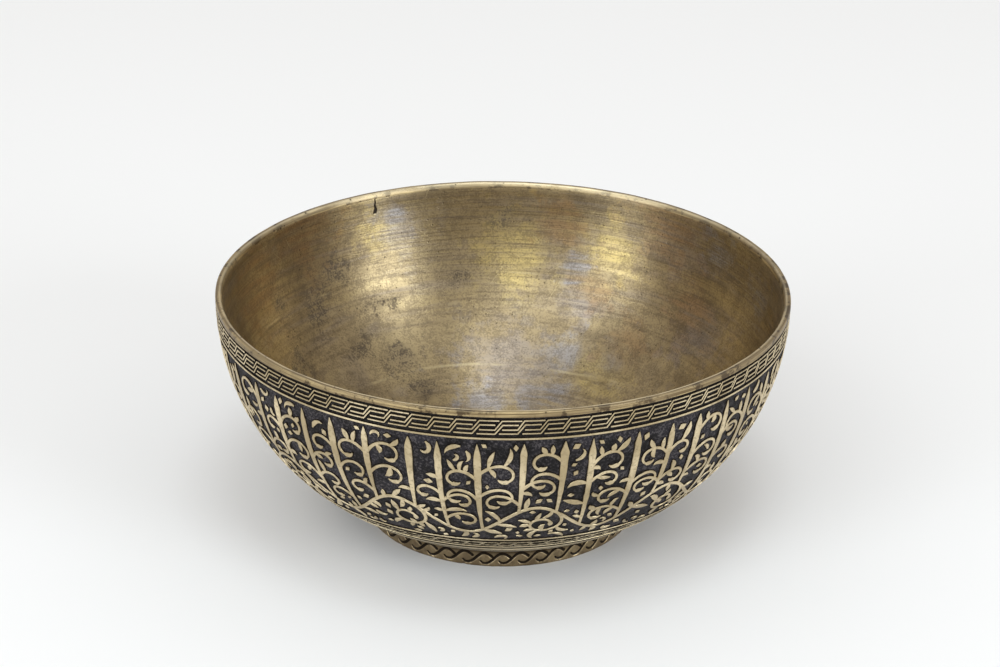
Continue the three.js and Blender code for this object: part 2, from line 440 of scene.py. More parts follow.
def look_plain_brass():
    """Brass of the lip, spotted, rubbed bright and painted with a highlight at its edge, and of the strip
    over the foot, darkened with grime and painted shade.
    """
    look, n, shader = new_look("lip_brass")
    place = n.place()
    wear_and_painted_light = n.attribute("wear_and_painted_light")
    cloud = n.noise(place, 85.0, 5.0, 0.65, 0.3)
    blots = n.noise(place, 210.0, 5.0, 0.7)
    lines = n.group(TURNED, Place=place, Fineness=1.3)
    specks = n.group(PITTED, Place=place, Scale=420.0, Share=0.93)["Specks"]
    uneven = n.ramp(n.noise(place, 130.0, 4.0), 0.35, 0.5, 0.55, 1.0)
    brass = n.coats(
        n.mix(n.ramp(lines["Lines"], 0.38, 0.60), LIP_BROWN, LIP_BRASS),
        (n.ramp(cloud, 0.42, 0.66, 0.55, 0.0), LIP_DULL),
        (n.ramp(lines["Streaks"], 0.48, 0.60, 0.0, 0.5), LIP_STREAK),
        (n.ramp(blots, 0.52, 0.60, 0.0, 0.85), LIP_BLOT),
        # The lip's edge rubbed bright, with a painted highlight
        (n.times(wear_and_painted_light, uneven, clamp=True), LIP_RUBBED_AND_HIGHLIGHT),
        # The strip over the foot darkened with grime and painted shade
        (n.times(wear_and_painted_light, n.ramp(blots, 0.3, 0.6, -0.75, -1.0), clamp=True), STRIP_GRIME_AND_SHADE),
        (n.times(specks, 0.9), LIP_PIT),
    )
    n.feed(shader, {
        "Base Color": brass,
        "Metallic": 1.0,
        "Roughness": n.ramp(lines["Lines"], 0.3, 0.7, 0.34, 0.50),
        "Normal": n.bump(n.less(lines["Lines"], specks), 0.4, 0.00008),
    })
    return look


def ring_lines(n, place):
    """Two turned lines round the inside, broken, at wavering heights: peaks of the distance in height."""
    height = n.plus(n.apart(place)[2], n.times(n.noise(place, 14.0, 2.0), 8 * MM))
    rings = 0.0
    for level in (46.0, 22.5):
        gap = n.math("ABSOLUTE", n.less(height, level * MM))
        rings = n.most(rings, n.ramp(gap, 0.08 * MM, 0.45 * MM, 1.0, 0.0))
    return n.times(rings, n.ramp(n.noise(place, 35.0, 3.0), 0.50, 0.62))


def crack(n, place):
    """A crack down from the lip at the back left: a narrow gap in x about one place, widest at its foot."""
    x, y, z = n.apart(place)
    waver = n.times(n.noise(place, 400.0, 2.0), 0.9 * MM)
    gap = n.math("ABSOLUTE", n.less(n.plus(x, waver), -38.5 * MM))
    half = n.ramp(z, 62.0 * MM, 66.0 * MM, 0.60 * MM, 0.22 * MM)
    narrow = n.less(1.0, n.math("DIVIDE", gap, half), clamp=True)
    length = n.times(n.ramp(z, 61.4 * MM, 62.0 * MM), n.ramp(y, 60 * MM, 61 * MM))
    return n.times(n.ramp(narrow, 0.0, 0.5), length)


def look_inside():
    """The turned inside: brass under an olive-brown patina, brushed round, tinted in patches, among them grey
    bloom and painted bluish reflections, and pitted.
    """
    look, n, shader = new_look("inside_brass")
    place = n.place()
    lines = n.group(TURNED, Place=place, Fineness=1.5)
    shifted = n.add("ShaderNodeVectorMath", {0: place, 1: (0, 0, 0.5)}, operation="ADD").outputs[0]
    other = n.group(TURNED, Place=shifted, Fineness=0.45)
    clouds = n.noise(place, 24.0, 5.0, 0.65, 0.5)
    patches = n.noise(place, 85.0, 4.0, 0.6, 0.4)
    mottle = n.noise(place, 300.0, 6.0, 0.75)
    grain = n.noise(place, 1700.0, 2.0, 0.6)
    spots = (YELLOW_RUB, GREY_BLOOM_AND_REFLECTION, COPPER_TONE, PAINTED_BLUE_REFLECTION, DARK_STAINS, CHIPS)
    yellow, bloom_and_reflection, copper, blue_reflection, stained, chips = (n.group(kind, Place=place)["Mask"] for kind in spots)
    specks = n.group(PITTED, Place=place, Scale=620.0, Share=0.98)["Specks"]
    marks = n.group(SCRATCHED, Place=place, Scale=70.0)["Marks"]
    speckle = n.ramp(n.plus(n.times(mottle, 0.6), n.times(grain, 0.4)), 0.46, 0.58)
    dark = n.times(n.ramp(speckle, 0.0, 1.0, 0.26, 0.74), n.most(stained, 0.11))
    holes = n.most(n.times(specks, 0.65), n.most(chips, crack(n, place)))
    brass = n.coats(
        n.mix(n.ramp(clouds, 0.38, 0.62), PATINA_BROWN, PATINA_OLIVE),
        (n.ramp(patches, 0.42, 0.62, 0.0, 0.45), PATINA_WARM),
        (n.ramp(lines["Streaks"], 0.44, 0.62, 0.0, 0.4), STREAK_GOLD),
        (n.ramp(other["Streaks"], 0.48, 0.66, 0.0, 0.35), STREAK_GREY),
        (n.times(yellow, n.ramp(other["Lines"], 0.35, 0.6, 0.4, 0.9)), RUB_YELLOW),
        # Grey bloom, with painted bluish reflections
        (n.times(bloom_and_reflection, n.ramp(lines["Lines"], 0.35, 0.65, 0.25, 0.65)), BLOOM_AND_REFLECTION_GREY),
        (n.times(copper, n.ramp(other["Streaks"], 0.38, 0.62, 0.2, 0.75)), TONE_COPPER),
        # Painted bluish reflections
        (n.times(blue_reflection, n.ramp(lines["Streaks"], 0.40, 0.60, 0.08, 0.80)), REFLECTION_BLUE_PAINTED),
        (n.ramp(lines["Lines"], 0.48, 0.64, 0.0, 0.4), LINE_BROWN),
        (n.ramp(n.plus(mottle, grain), 0.92, 1.10, 0.0, 0.35), MOTTLE_BROWN),
        (dark, STAIN_BROWN),
        (holes, HOLE_BROWN),
        (n.most(n.times(marks, 0.3), n.times(ring_lines(n, place), 0.4)), MARK_BRIGHT),
    )
    brushed = n.plus(lines["Lines"], n.times(n.plus(grain, mottle), 0.4))
    n.feed(shader, {
        "Base Color": brass,
        "Metallic": n.ramp(dark, 0.0, 1.0, 1.0, 0.6),
        "Roughness": n.plus(n.ramp(lines["Streaks"], 0.35, 0.7, 0.42, 0.32), n.times(dark, 0.2)),
        "Anisotropic": 0.75,
        "Anisotropic Rotation": 0.25,
        "Normal": n.bump(n.less(brushed, holes), 0.45, 0.00012),
    })
    return look


def look_ground(name, dark, light, flecked):
    """Black composition in the chiselled ground: matt, flecked grey where the tool left it rough."""
    look, n, shader = new_look(name)
    place = n.place()
    grain = n.noise(place, 1500.0, 4.0, 0.7)
    cloud = n.noise(place, 160.0, 4.0, 0.6)
    flecks = n.times(n.ramp(grain, 0.48, 0.62), n.ramp(cloud, 0.40, 0.58, 0.25 * flecked, 0.7 * flecked))
    black = n.mix(n.ramp(cloud, 0.38, 0.66), dark, light)
    n.feed(shader, {
        "Base Color": n.mix(flecks, black, FLECK_GREY),
        "Roughness": n.ramp(grain, 0.3, 0.7, 0.55, 0.78),
        "Specular IOR Level": 0.15,
        "Normal": n.bump(grain, 0.9, 0.0002),
    })
    return look


def look_foot():
    """Browned brass of the foot, darkened close to the bowl with grime and painted shade, and black in the
    cut scroll.
    """
    look, n, shader = new_look("foot_brass")
    place = n.place()
    cloud = n.noise(place, 80.0, 5.0, 0.6)
    fine = n.noise(place, 700.0, 3.0, 0.6)
    height = n.plus(n.apart(place)[2], n.times(cloud, 2 * MM))
    filled = n.ramp(n.plus(n.attribute("cut"), n.times(n.less(fine, 0.5), 0.3)), 0.3, 0.55)
    brass = n.coats(
        n.mix(n.ramp(cloud, 0.35, 0.68), FOOT_DULL, FOOT_BRASS),
        (n.ramp(fine, 0.48, 0.66, 0.0, 0.6), FOOT_GRAIN),
        # Darker towards the top of the foot, under the bowl: grime and painted shade
        (n.ramp(height, 4.2 * MM, 5.9 * MM, 0.0, 0.85), FOOT_GRIME_AND_SHADE),
        (filled, CUT_BLACK),
    )
    n.feed(shader, {
        "Base Color": brass,
        "Metallic": n.less(1.0, filled),
        "Roughness": n.ramp(cloud, 0.3, 0.7, 0.50, 0.38),
        "Specular IOR Level": 0.1,
        "Normal": n.bump(fine, 0.5, 0.00010),
    })
    return look


def look_seam():
    """Dull solder, dark where dirt sits in the corner."""
    look, n, shader = new_look("seam_solder")
    cloud = n.noise(n.place(), 300.0, 4.0, 0.6)
    n.feed(shader, {
        "Base Color": n.mix(cloud, SOLDER_DARK, SOLDER_GREY),
        "Metallic": 0.8,
        "Roughness": 0.6,
        "Normal": n.bump(cloud, 0.6, 0.0002),
    })
    return look


RELIEF = look_relief()
PLAIN = look_plain_brass()
INSIDE = look_inside()
BLACK = look_ground("band_black", *BAND_COLOURS, 1.0)
BORDER_BLACK = look_ground("border_black", *BORDER_COLOURS, 0.35)
FOOT_LOOK = look_foot()
SEAM_LOOK = look_seam()

# Bowl shell: one turned profile from the middle of the underside, up the wall, over the lip and down inside

ROUND = 600
EDGE = 0.07 * MM
GROOVES = (down_to(51.5), down_to(55.6))
GROOVE_WIDTH = 2.2 * MM
GROOVE_DEPTH = 0.2 * MM
LIP_INNER = RIM - LIP_FLAT

# Each row of the lip, from outside to inside: distance from the axis, height, and how bright it is rubbed and
# painted with a highlight

LIP_ROWS = (
    (RIM, ARC_UP + 0.1 * MM, 0),
    (RIM, ARC_UP + 0.6 * MM, 0),
    (RIM, HEIGHT - 0.35 * MM, 0),
    (RIM - 0.06 * MM, HEIGHT - 0.12 * MM, 0.1),
    (RIM - 0.2 * MM, HEIGHT - 0.02 * MM, 0.2),
    (RIM - 0.5 * MM, HEIGHT, 0),
    (LIP_INNER + 0.60 * MM, HEIGHT, 0),
    (LIP_INNER + 0.40 * MM, HEIGHT, 0.9),
    (LIP_INNER, HEIGHT - 0.05 * MM, 1),
    (LIP_INNER - 0.3 * MM, HEIGHT - 0.42 * MM, 0.3),
)


def wall_rows(s_from, s_to, lift, count):
    """Profile rows that follow the wall at a lift: pairs of radius and height."""
    return np.stack(section(np.linspace(s_from, s_to, count), lift), axis=1)


def groove_rows(groove):
    """Profile rows across one groove, from its lower edge to its upper one."""
    half, flat = GROOVE_WIDTH / 2, GROOVE_WIDTH / 3
    return [
        wall_rows(groove + half, groove + half, 0, 1),
        wall_rows(groove + flat, groove - flat, -GROOVE_DEPTH, 2),
        wall_rows(groove - half, groove - half, 0, 1),
    ]


def recess_rows(top, foot):
    """Profile rows across the recess of one band, from its lower edge to its upper one."""
    count = 3 + round((foot - top) / (4 * MM))
    return [
        wall_rows(foot + EDGE, foot + EDGE, -0.02 * MM, 1),
        wall_rows(foot - EDGE, foot - EDGE, -RECESS + 0.1 * MM, 1),
        wall_rows(foot - EDGE, top + EDGE, -RECESS + 0.02 * MM, count),
        wall_rows(top + EDGE, top + EDGE, -RECESS + 0.1 * MM, 1),
        wall_rows(top - EDGE, top - EDGE, -0.05 * MM, 1),
    ]


def inner_rows(count):
    """Profile rows of the inside: the wall's arc, the fillet tangent to it and the flat floor."""
    centre_up = FLOOR + FLOOR_FILLET
    centre_out = math.sqrt((INNER - FLOOR_FILLET) ** 2 - (ARC_UP - centre_up) ** 2)
    meet = math.atan2(ARC_UP - centre_up, centre_out)
    a = np.linspace(0, meet, count)
    arc = np.stack([ARC_OUT + INNER * np.cos(a), ARC_UP - INNER * np.sin(a)], axis=1)
    b = np.linspace(meet, math.pi / 2, 10)[1:]
    out = ARC_OUT + centre_out + FLOOR_FILLET * np.cos(b)
    fillet = np.stack([out, centre_up - FLOOR_FILLET * np.sin(b)], axis=1)
    flat = np.array([[r * MM, FLOOR] for r in (21, 16, 11, 6, 2, 0)])
    return np.concatenate([arc, fillet, flat])


def shell_profile():
    """The profile in five runs: the underside, the plain strip, the bands, the lip and the inside."""
    under = np.array([[r * MM, UNDERSIDE] for r in (0, 0.8, 6, 12, 18, 24)])
    under[:2, 1] += 0.35 * MM
    underside_s = ARC * math.asin((ARC_UP - UNDERSIDE) / ARC)
    strip = wall_rows(underside_s, GROOVES[-1] + GROOVE_WIDTH, 0, 20)
    bands = groove_rows(GROOVES[1]) + groove_rows(GROOVES[0])
    for (top, foot), next_foot in ((LOWER, BAND[1]), (BAND, UPPER[1]), (UPPER, None)):
        bands += recess_rows(top, foot)
        if next_foot is not None:
            bands.append(wall_rows(top - 2 * EDGE, next_foot + 2 * EDGE, 0, 3))
    return under, strip, np.concatenate(bands), np.array(LIP_ROWS)[:, :2], inner_rows(62)


def bowl_shell():
    """The profile's rows by the angle round the axis, with small waves on the lip and ripples inside."""
    runs = shell_profile()
    profile = np.concatenate(runs)
    strip_at, bands_at, lip_at, inside_at = np.cumsum([len(run) for run in runs])[:4]
    phi, reach, up = spun(profile, ROUND)
    up[lip_at:inside_at] += 0.05 * MM * (wander(phi, 3, (7, 11, 17, 29, 43)) - 1.0)
    reach[lip_at:inside_at] += 0.04 * MM * wander(phi, 4, (9, 14, 23, 31))
    depth = np.arange(len(profile) - inside_at)[:, None]
    ripple = np.sin(depth * 0.9 + 3 * np.sin(phi * 2 + 1)) * wander(phi, 5, (3, 5, 7, 11)) * 0.02 * MM
    ripple[-16:] = 0
    reach[inside_at:] -= ripple
    wear_and_painted_light = np.zeros(reach.shape)
    # The plain strip over the foot is darkened with grime and painted shade
    wear_and_painted_light[strip_at:bands_at] = -1
    # The lip's rubbed edge carries a painted highlight, strongest at the front and back and weaker at the
    # sides
    wear_and_painted_light[lip_at:inside_at] = np.outer(np.array(LIP_ROWS)[:, 2], 1 - 0.65 * np.sin(phi) ** 2)
    lift = np.hypot(profile[:, 0] - ARC_OUT, ARC_UP - profile[:, 1]) - ARC
    values = {"wear_and_painted_light": wear_and_painted_light, "rise": np.repeat(lift > -0.04 * MM, ROUND)}
    row_look = np.zeros(len(profile) - 1, int)
    row_look[bands_at - 1:lip_at - 1] = 1
    row_look[inside_at:] = 2
    made = make_piece(
        "bowl_shell", around_axis(phi, reach, up), grid_faces(len(profile), ROUND), [PLAIN, RELIEF, INSIDE],
        sharp=28, face_looks=np.repeat(row_look, ROUND), values=values, weld=True,
    )
    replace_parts(made, "bowl_body")


# Black grounds of the bands

CHISEL_WAVES = 14


def black_ring(name, node, band, look, rows, cols, roughness, seed):
    """Black ground of a band: a ring on the recess's floor, its face pitted by the chisel.

    The face's height is a sum of short waves in both directions, with seeded phases.
    """
    top, foot = band
    phi = np.linspace(0, TURN, cols, endpoint=False)[None, :]
    s = np.linspace(top + 0.02 * MM, foot - 0.02 * MM, rows)[:, None]
    rng = np.random.default_rng(seed)
    chisel = np.zeros((rows, cols))
    for _ in range(CHISEL_WAVES):
        around = int(rng.integers(60, 420))
        down = rng.uniform(300, 2600)
        chisel += np.sin(around * phi + down * s * rng.choice((-1, 1)) + rng.uniform(0, 6.28))
    face = wall(phi, s, -GROUND + roughness * chisel / 3.0)
    back = wall(phi, np.linspace(foot, top, max(rows // 6, 3))[:, None], -RECESS)
    points = np.concatenate([face, back])[::-1]
    made = make_piece(name, points, grid_faces(len(points), cols, wrap_rows=True), [look], sharp=60)
    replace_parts(made, node)


# Raised strokes: a section with sloping flanks carried along a path on the wall

# Each point of the section: its side, its flare and lift in mm, and how bare of black it is
SECTION = (
    (-1, 0.22, -0.50, 0.0),
    (-1, 0.03, -0.17, 0.78),
    (-1, -0.04, -0.01, 1.0),
    (0, 0.0, 0.0, 1.0),
    (1, -0.04, -0.01, 1.0),
    (1, 0.03, -0.17, 0.78),
    (1, 0.22, -0.50, 0.0),
)
LEAST_HALF = 0.01 * MM


def stroke(phi, s, half, sink):
    """Corners and rise of one stroke: the section's sides go half a width to each side of the path.

    The path's normal is taken on the wall, and a width is turned into an angle by the distance from the axis.
    """
    reach = section(s)[0]
    across = np.gradient(phi) * reach
    down = np.gradient(s)
    length = np.maximum(np.hypot(across, down), 1e-12)
    normal = np.stack([-down / length, across / length], axis=1)
    side, flare, lift, rise = np.array(SECTION).T
    offset = side[None] * np.maximum(half[:, None] + flare[None] * MM, LEAST_HALF)
    around = phi[:, None] + normal[:, :1] * offset / reach[:, None]
    points = wall(around, s[:, None] + normal[:, 1:] * offset, lift[None] * MM - sink)
    return points, np.broadcast_to(rise[None], points.shape[:2])


def stroke_piece(name, strokes, look, soil=0.0):
    """All the strokes of a band in one piece, each closed by its base and two ends; soil dulls their rise."""
    cols = len(SECTION)
    points, rises, faces, first = [], [], [], 0
    for path in strokes:
        corners, rise = stroke(*path)
        rows = len(corners)
        points.append(corners.reshape(-1, 3))
        rises.append(rise.ravel())
        faces += grid_faces(rows, cols, first=first)
        faces.append(list(range(first + cols - 1, first - 1, -1)))
        faces.append(list(range(first + (rows - 1) * cols, first + rows * cols)))
        first += rows * cols
    values = {"rise": np.concatenate(rises) - soil}
    made = make_piece(name, np.concatenate(points), faces, [look], sharp=40, values=values)
    return made


# Key borders: hooked strips, on four rows above and on two wider rows below

KEY_REPEATS = 86
KEY_EASE = 0.12 * MM
# Rows are shares of the band's width, and a strip's corners are (place in repeats, row)
UPPER_ROWS = (0.160, 0.358, 0.599, 0.801)
UPPER_STRIPS = (
    ((0.90, 0), (0.02, 0), (-0.30, 2), (-0.97, 2)),
    ((0.74, 1), (0.04, 1), (-0.28, 3), (-1.11, 3)),
)
LOWER_ROWS = (0.30, 0.70)
LOWER_STRIPS = (((0.95, 0), (0.08, 0), (-0.30, 1), (-1.10, 1)),)


def bent_path(x, y, ease):
    """Straight stretches joined at corners, with a point at an equal short distance on each side of one."""
    run = np.r_[0, np.cumsum(np.hypot(np.diff(x), np.diff(y)))]
    inner = run[1:-1]
    middle = (run[1:] + run[:-1]) / 2
    t = np.sort(np.concatenate([run, inner - ease, inner + ease, middle]))
    return np.interp(t, run, x), np.interp(t, run, y)


def key_border(name, band, strips, rows, half, soil, seed):
    """Hooked strips all round a band, each a little off in its corners, height, width and depth."""
    rng = np.random.default_rng(seed)
    pitch = TURN / KEY_REPEATS
    width = pitch * section(sum(band) / 2)[0]
    strokes = []
    for k in range(KEY_REPEATS):
        for strip in strips:
            x = np.array([p[0] for p in strip]) + rng.normal(0, 0.012, 4)
            y = np.array([rows[p[1]] for p in strip]) * (band[1] - band[0]) + rng.normal(0, 0.035 * MM)
            px, py = bent_path(x * width, y, KEY_EASE)
            wide = half * rng.uniform(0.9, 1.1) * np.ones(len(px))
            strokes.append((k * pitch + px / width * pitch, band[0] + py, wide, rng.uniform(0, 0.04) * MM))
    stroke_piece(name, strokes, RELIEF, soil)


# Ornament of the wide band: a wave of stems with coils, upright blades on it, and curls and leaves between

UNITS = 12
WAVE_MIDDLE = BAND[0] + 31.0 * MM
WAVE_SWING = 6.6 * MM
WAVE_HALF = 0.58 * MM
BLADES = 48
TIP_GAP = 0.8
EDGE_GAP = 0.55 * MM
SLIM = 0.88
SECTORS = 72
NEAR = 3 * MM
UP = -math.pi / 2
# A curl of size 1: its length in mm, the bend of its end in radians per mm, and the ground it leaves bare
CURL_LENGTH = 16.4
CURL_BEND = 0.58
CURL_GAP = 0.40


def swept(phi, s, heading, length, bend, end_bend, step=0.45 * MM):
    """A curve from (phi, s) whose curvature runs evenly from bend to end_bend, in radians per metre.

    The heading is the sum of the curvature along the curve, and the place is the sum of the heading.
    """
    count = max(int(length / step), 8) + 1
    t = np.linspace(0, 1, count)
    along = length / (count - 1)
    turn = heading + length * (bend * t + (end_bend - bend) * t * t / 2)
    middle = (turn[1:] + turn[:-1]) / 2
    down = s + np.r_[0, np.cumsum(np.sin(middle) * along)]
    between = (down[1:] + down[:-1]) / 2
    around = phi + np.r_[0, np.cumsum(np.cos(middle) * along / section(between)[0])]
    return around, down, turn


def leaf_half(count, widest, swell, stalk):
    """Half width along a leaf: a thin stalk that swells in a sine to its widest, then a sine to a point."""
    t = np.linspace(0, 1, count)
    rise = np.sin(np.clip(t / swell, 0, 1) * math.pi / 2) ** 1.6
    fall = np.sin(np.clip((1 - t) / (1 - swell), 0, 1) * math.pi / 2) ** 0.9
    return np.where(t < swell, stalk + (widest - stalk) * rise, widest * fall)


def curl_half(count):
    """Half width along a curl: a stem that thins a little, then a sine's round bud at its end."""
    t = np.linspace(0, 1, count)
    stem = (0.52 - 0.14 * t) * MM
    bud = 0.78 * MM * np.sin(np.clip((1 - t) / 0.17, 0, 1) * math.pi * 0.62 + 0.06)
    return np.where(t < 0.83, stem, np.maximum(bud, 0.1 * MM))


class Scroll:
    """The strokes laid in the band so far, kept in sectors round the axis to measure clearances quickly."""

    def __init__(self, seed):
        self.rng = np.random.default_rng(seed)
        self.cells = [np.zeros((0, 4)) for _ in range(SECTORS)]
        self.strokes = []
        self.shoots = []

    def lay(self, phi, s, half):
        """Adds a stroke, its edges a little uneven from the hand, and its corners to their sectors."""
        knots = self.rng.normal(0, 0.06, len(phi) // 4 + 2)
        uneven = np.interp(np.linspace(0, 1, len(phi)), np.linspace(0, 1, len(knots)), knots)
        half = half * SLIM * (1 + uneven)
        self.strokes.append((phi, s, half, self.rng.uniform(0, 0.05) * MM))
        rows = np.c_[wall(phi, s), half]
        sector = np.floor(phi / TURN * SECTORS).astype(int) % SECTORS
        for k in np.unique(sector):
            self.cells[k] = np.vstack([self.cells[k], rows[sector == k]])

    def bare_ground(self, phi, s, half, root, free):
        """Least bare ground between a new stroke and the old ones, apart from the two near its root."""
        low, high = (int(math.floor(f / TURN * SECTORS)) for f in (phi.min(), phi.max()))
        old = np.vstack([self.cells[k % SECTORS] for k in range(low - 1, high + 2)])
        new = wall(phi, s)
        old = old[(old[:, 2] > new[:, 2].min() - NEAR) & (old[:, 2] < new[:, 2].max() + NEAR)]
        if len(old) == 0:
            return RIM
        gap = np.linalg.norm(new[:, None] - old[None, :, :3], axis=2) - half[:, None] - old[None, :, 3]
        if root is not None:
            new_near = np.linalg.norm(new - root, axis=1) < free
            old_near = np.linalg.norm(old[:, :3] - root, axis=1) < free
            gap[new_near[:, None] & old_near[None]] = RIM
        return gap.min()

    def sprout(self, phi, s, first=0.0, last=1.0):
        """Every third point of a stem may bear a leaf."""
        heading = np.arctan2(np.gradient(s), np.gradient(phi) * section(s)[0])
        for i in range(int(len(phi) * first), int(len(phi) * last), 3):
            self.shoots.append((phi[i], s[i], heading[i]))

    def try_lay(self, path, half, gap, root=None, free=1.9 * MM):
        """Lays a stroke only where it is inside the band and leaves a gap in mm of ground bare around it."""
        phi, s, _ = path
        if (s - half).min() < BAND[0] + EDGE_GAP or (s + half).max() > BAND[1] - EDGE_GAP:
            return False
        if self.bare_ground(phi, s, half, root, free) < gap * MM:
            return False
        self.lay(phi, s, half)
        return True

    def fill_with_curls(self, blades, tries, sizes):
        """Curls at chance places of the blades, to either side, where there is room."""
        rng = self.rng
        for _ in range(tries):
            phi, s, _ = blades[rng.integers(len(blades))]
            i = rng.integers(int(len(s) * 0.1), int(len(s) * 0.75))
            side = rng.choice((-1, 1))
            size = rng.uniform(*sizes)
            turn = side * CURL_BEND / (size * MM)
            heading = UP + side * rng.uniform(0.45, 0.75)
            path = swept(phi[i], s[i], heading, CURL_LENGTH * size * MM, rng.uniform(0.02, 0.1) * turn, turn)
            if self.try_lay(path, curl_half(len(path[0])), CURL_GAP, wall(phi[i], s[i]), 4.6 * MM):
                self.sprout(path[0], path[1], 0.2, 0.75)

    def fill_with_leaves(self, tries, lengths, widths, gap, spread):
        """Leaves on the stems, each at a random shoot, side, size and curl."""
        rng = self.rng
        for _ in range(tries):
            phi, s, heading = self.shoots[rng.integers(len(self.shoots))]
            side = rng.choice((-1, 1))
            length = rng.uniform(*lengths) * MM
            curl = side * rng.uniform(-0.5, 1.8) / length
            path = swept(phi, s, heading + side * rng.uniform(*spread), length, curl * 0.4, curl * 1.6)
            half = leaf_half(len(path[0]), rng.uniform(*widths) * MM, 0.5, 0.28 * MM)
            self.try_lay(path, half, gap, wall(phi, s))

    def fill_with_hooks(self, tries, lengths, widths, gap):
        """Small loose hooks, bent by one to four radians, wherever the ground is bare."""
        rng = self.rng
        for _ in range(tries):
            length = rng.uniform(*lengths) * MM
            s = rng.uniform(BAND[0] + 1 * MM, BAND[1] - 1 * MM)
            turn = rng.choice((-1, 1)) * rng.uniform(1.2, 4.2) / length
            phi = rng.uniform(0, TURN)
            path = swept(phi, s, rng.uniform(0, TURN), length, turn * 0.4, turn * 1.6)
            half = leaf_half(len(path[0]), rng.uniform(*widths) * MM, 0.35, 0.25 * MM)
            self.try_lay(path, half, gap)

    def fill_with_lozenges(self, tries, sizes, gap):
        """Small straight lozenges in what is left: the half width falls from the middle to both tips."""
        rng = self.rng
        for _ in range(tries):
            length = rng.uniform(*sizes) * MM
            s = rng.uniform(BAND[0] + 1 * MM, BAND[1] - 1 * MM)
            phi = rng.uniform(0, TURN)
            path = swept(phi, s, rng.uniform(0, math.pi), length, 0, 0, 0.25 * MM)
            half = length * 0.40 * (1 - np.abs(np.linspace(-1, 1, len(path[0])))) ** 0.85
            self.try_lay(path, half, gap)


def wave_s(phi):
    """The wave of stems: a sine of twelve waves, with a slow drift of three."""
    return WAVE_MIDDLE - WAVE_SWING * np.sin(phi * UNITS) + 0.3 * MM * np.sin(3 * phi + 0.4)


def lay_blades(scroll):
    """Upright blades with their roots on the wave, as in the solids: uneven by sines of their number."""
    blades = []
    for k in range(BLADES):
        phi = (k + 0.5 + 0.09 * math.sin(2.4 * k)) * TURN / BLADES
        s = wave_s(phi)
        lean = 0.08 * math.sin(1.7 * k + 1)
        length = s - BAND[0] - (TIP_GAP + 0.3 * (1 + math.sin(5.1 * k))) * MM
        path = swept(phi, s, UP + lean, length, -lean * 2.2 / length, lean * 0.6 / length)
        scroll.lay(path[0], path[1], leaf_half(len(path[0]), (1.0 + 0.15 * (k % 2)) * MM, 0.84, 0.45 * MM))
        scroll.sprout(path[0], path[1], 0.12, 0.72)
        blades.append(path)
    return blades


def lay_coils(scroll):
    """A coil under each crest of the wave, with a leaf at its end."""
    for k in range(UNITS):
        phi = (k + 0.40) * TURN / UNITS
        s = wave_s(phi)
        slope = math.atan2(wave_s(phi + 0.002) - s, 0.002 * section(s)[0])
        coil = swept(phi, s, slope + 0.12, 25 * MM, 0.115 / MM, 0.40 / MM)
        scroll.lay(coil[0], coil[1], np.linspace(0.52, 0.42, len(coil[0])) * MM)
        scroll.sprout(coil[0], coil[1], 0.12, 0.95)
        phi, s, heading = (part[-1] for part in coil)
        leaf = swept(phi, s, heading, 2.6 * MM, 0.4 / MM, 0.3 / MM)
        scroll.lay(leaf[0], leaf[1], leaf_half(len(leaf[0]), 0.8 * MM, 0.55, 0.35 * MM))


def band_scroll():
    """The wide band's ornament in two pieces: the stems with their blades and curls, and the leaves."""
    scroll = Scroll(11)
    phi = np.linspace(0, TURN, UNITS * 90 + 1)
    scroll.lay(phi, wave_s(phi), np.full(len(phi), WAVE_HALF))
    scroll.sprout(phi, wave_s(phi))
    blades = lay_blades(scroll)
    lay_coils(scroll)
    scroll.fill_with_curls(blades, 1500, sizes=(0.95, 1.1))
    scroll.fill_with_curls(blades, 1500, sizes=(0.75, 0.92))
    stems = len(scroll.strokes)
    scroll.fill_with_leaves(2500, lengths=(4.5, 7), widths=(0.75, 1.05), gap=0.48, spread=(0.35, 1.2))
    scroll.fill_with_leaves(3000, lengths=(2.6, 4.5), widths=(0.65, 0.9), gap=0.52, spread=(0.4, 1.3))
    scroll.fill_with_hooks(4000, lengths=(3, 7), widths=(0.5, 0.8), gap=0.55)
    scroll.fill_with_lozenges(4000, sizes=(1.5, 2.6), gap=0.5)
    for name, strokes in (("band_stems", scroll.strokes[:stems]), ("band_leaves", scroll.strokes[stems:])):
        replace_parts(stroke_piece(name, strokes, RELIEF), "bowl_body")


# Foot: a hoop with running scrolls cut in its face, and the seam over it

FOOT_COLS = 1800
SEAM_COLS = 480
SCROLL_REPEATS = 46
SCROLL_DEPTH = 0.35 * MM
# One scroll's path: place in repeats and height in mm
SCROLL_PATH = (
    (0.00, 1.75), (0.08, 1.35), (0.20, 1.15), (0.38, 1.30), (0.58, 2.00), (0.80, 3.20), (0.98, 4.00),
    (1.15, 4.30), (1.32, 4.05), (1.47, 3.55), (1.55, 3.20),
)
NICK_AT = TURN - 0.262
NICK_DEPTH = 0.35 * MM
NICK_HALF = 0.012


def smooth_curve(points, count):
    """A curve through given points: each stretch is the cubic with the neighbours' mean slope."""
    p = np.array(points, float)
    slope = np.gradient(p, axis=0)
    t = np.linspace(0, len(p) - 1, count)
    i = np.minimum(t.astype(int), len(p) - 2)
    f = (t - i)[:, None]
    from_ends = (2 * f**3 - 3 * f**2 + 1) * p[i] + (3 * f**2 - 2 * f**3) * p[i + 1]
    return from_ends + (f**3 - 2 * f**2 + f) * slope[i] + (f**3 - f**2) * slope[i + 1]


